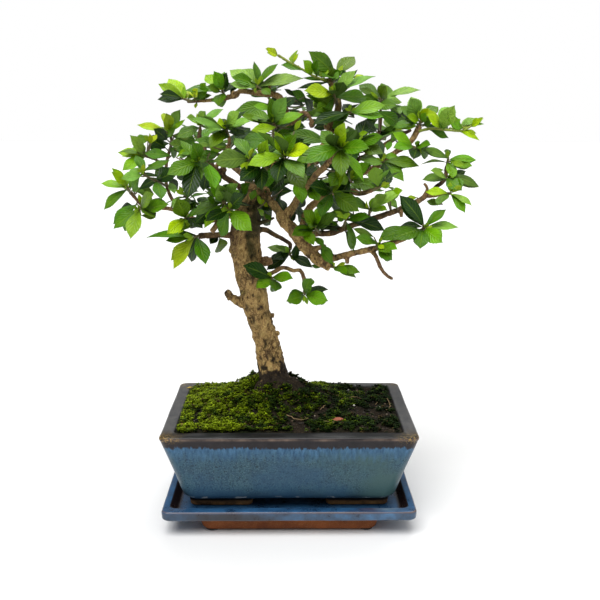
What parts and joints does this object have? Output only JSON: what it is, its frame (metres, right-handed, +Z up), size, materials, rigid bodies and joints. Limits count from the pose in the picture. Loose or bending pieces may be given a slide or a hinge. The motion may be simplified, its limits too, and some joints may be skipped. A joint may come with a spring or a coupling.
{
  "type": "fukien tea bonsai",
  "caption": "Small leaning broom-crowned bonsai tree with mossy soil in a rectangular blue glazed pot that stands on a matching drip tray.",
  "frame": {"origin": "on the surface that the pads stand on, under the middle of the pot", "axes": "+Z up, -Y towards the front of the pot, +X to the right along the pot's length"},
  "size_m": [0.2414, 0.1528, 0.2905],
  "materials": {
    "pad_rubber": "matte black",
    "tray_glaze": "glossy streaked blue glaze over a bare terracotta foot",
    "pot_glaze": "glossy mottled blue glaze under a dark brown rim, bare clay feet",
    "net_plastic": "matte black net",
    "soil": "moist soil under bright green moss",
    "bark": "rough scaly tan bark",
    "leaf": "glossy leathery green leaves"
  },
  "bodies": {
    "root": {"pad_1": "pad_rubber", "pad_2": "pad_rubber", "pad_3": "pad_rubber", "pad_4": "pad_rubber", "tray": "tray_glaze", "pot": "pot_glaze", "drain_net": "net_plastic", "soil": "soil", "wood": "bark", "spray_apexShoot": "leaf", "spray_apexCrown": "leaf", "spray_apexFront": "leaf", "spray_rightCrown": "leaf", "spray_midCrown": "leaf", "spray_topCrown": "leaf", "spray_leftCrown": "leaf", "spray_farCrown": "leaf", "spray_highLeft": "leaf", "spray_innerHighLeft": "leaf", "spray_outerHighLeft": "leaf", "spray_outerLeft": "leaf", "spray_midLeft": "leaf", "spray_leftTip": "leaf", "spray_lowLeft": "leaf", "spray_hangingLeft": "leaf", "spray_underLeft": "leaf", "spray_bottomLeft": "leaf", "spray_innerLeft": "leaf", "spray_frontLow": "leaf", "spray_frontLeftFan": "leaf", "spray_frontFan": "leaf", "spray_centreHigh": "leaf", "spray_frontRightFan": "leaf", "spray_rightInnerHigh": "leaf", "spray_darkCentre": "leaf", "spray_rightInner": "leaf", "spray_rightMid": "leaf", "spray_rightTop": "leaf", "spray_rightShoot": "leaf", "spray_rightHang": "leaf", "spray_rightSide": "leaf", "spray_rightTip": "leaf", "spray_rightLow": "leaf", "spray_midRight": "leaf", "spray_innerRight": "leaf", "spray_innerLow": "leaf", "spray_midLow": "leaf", "spray_lowRightTip": "leaf", "spray_lowRight": "leaf", "spray_lowBranchEnd": "leaf", "spray_dropTwig": "leaf", "spray_overTrunk": "leaf", "spray_underBranch": "leaf", "spray_backLeft": "leaf", "spray_backCentre": "leaf", "spray_backRight": "leaf", "spray_backLowRight": "leaf", "spray_backLowLeft": "leaf", "spray_backHigh": "leaf", "spray_frontFarRight": "leaf"}
  },
  "joints": []
}
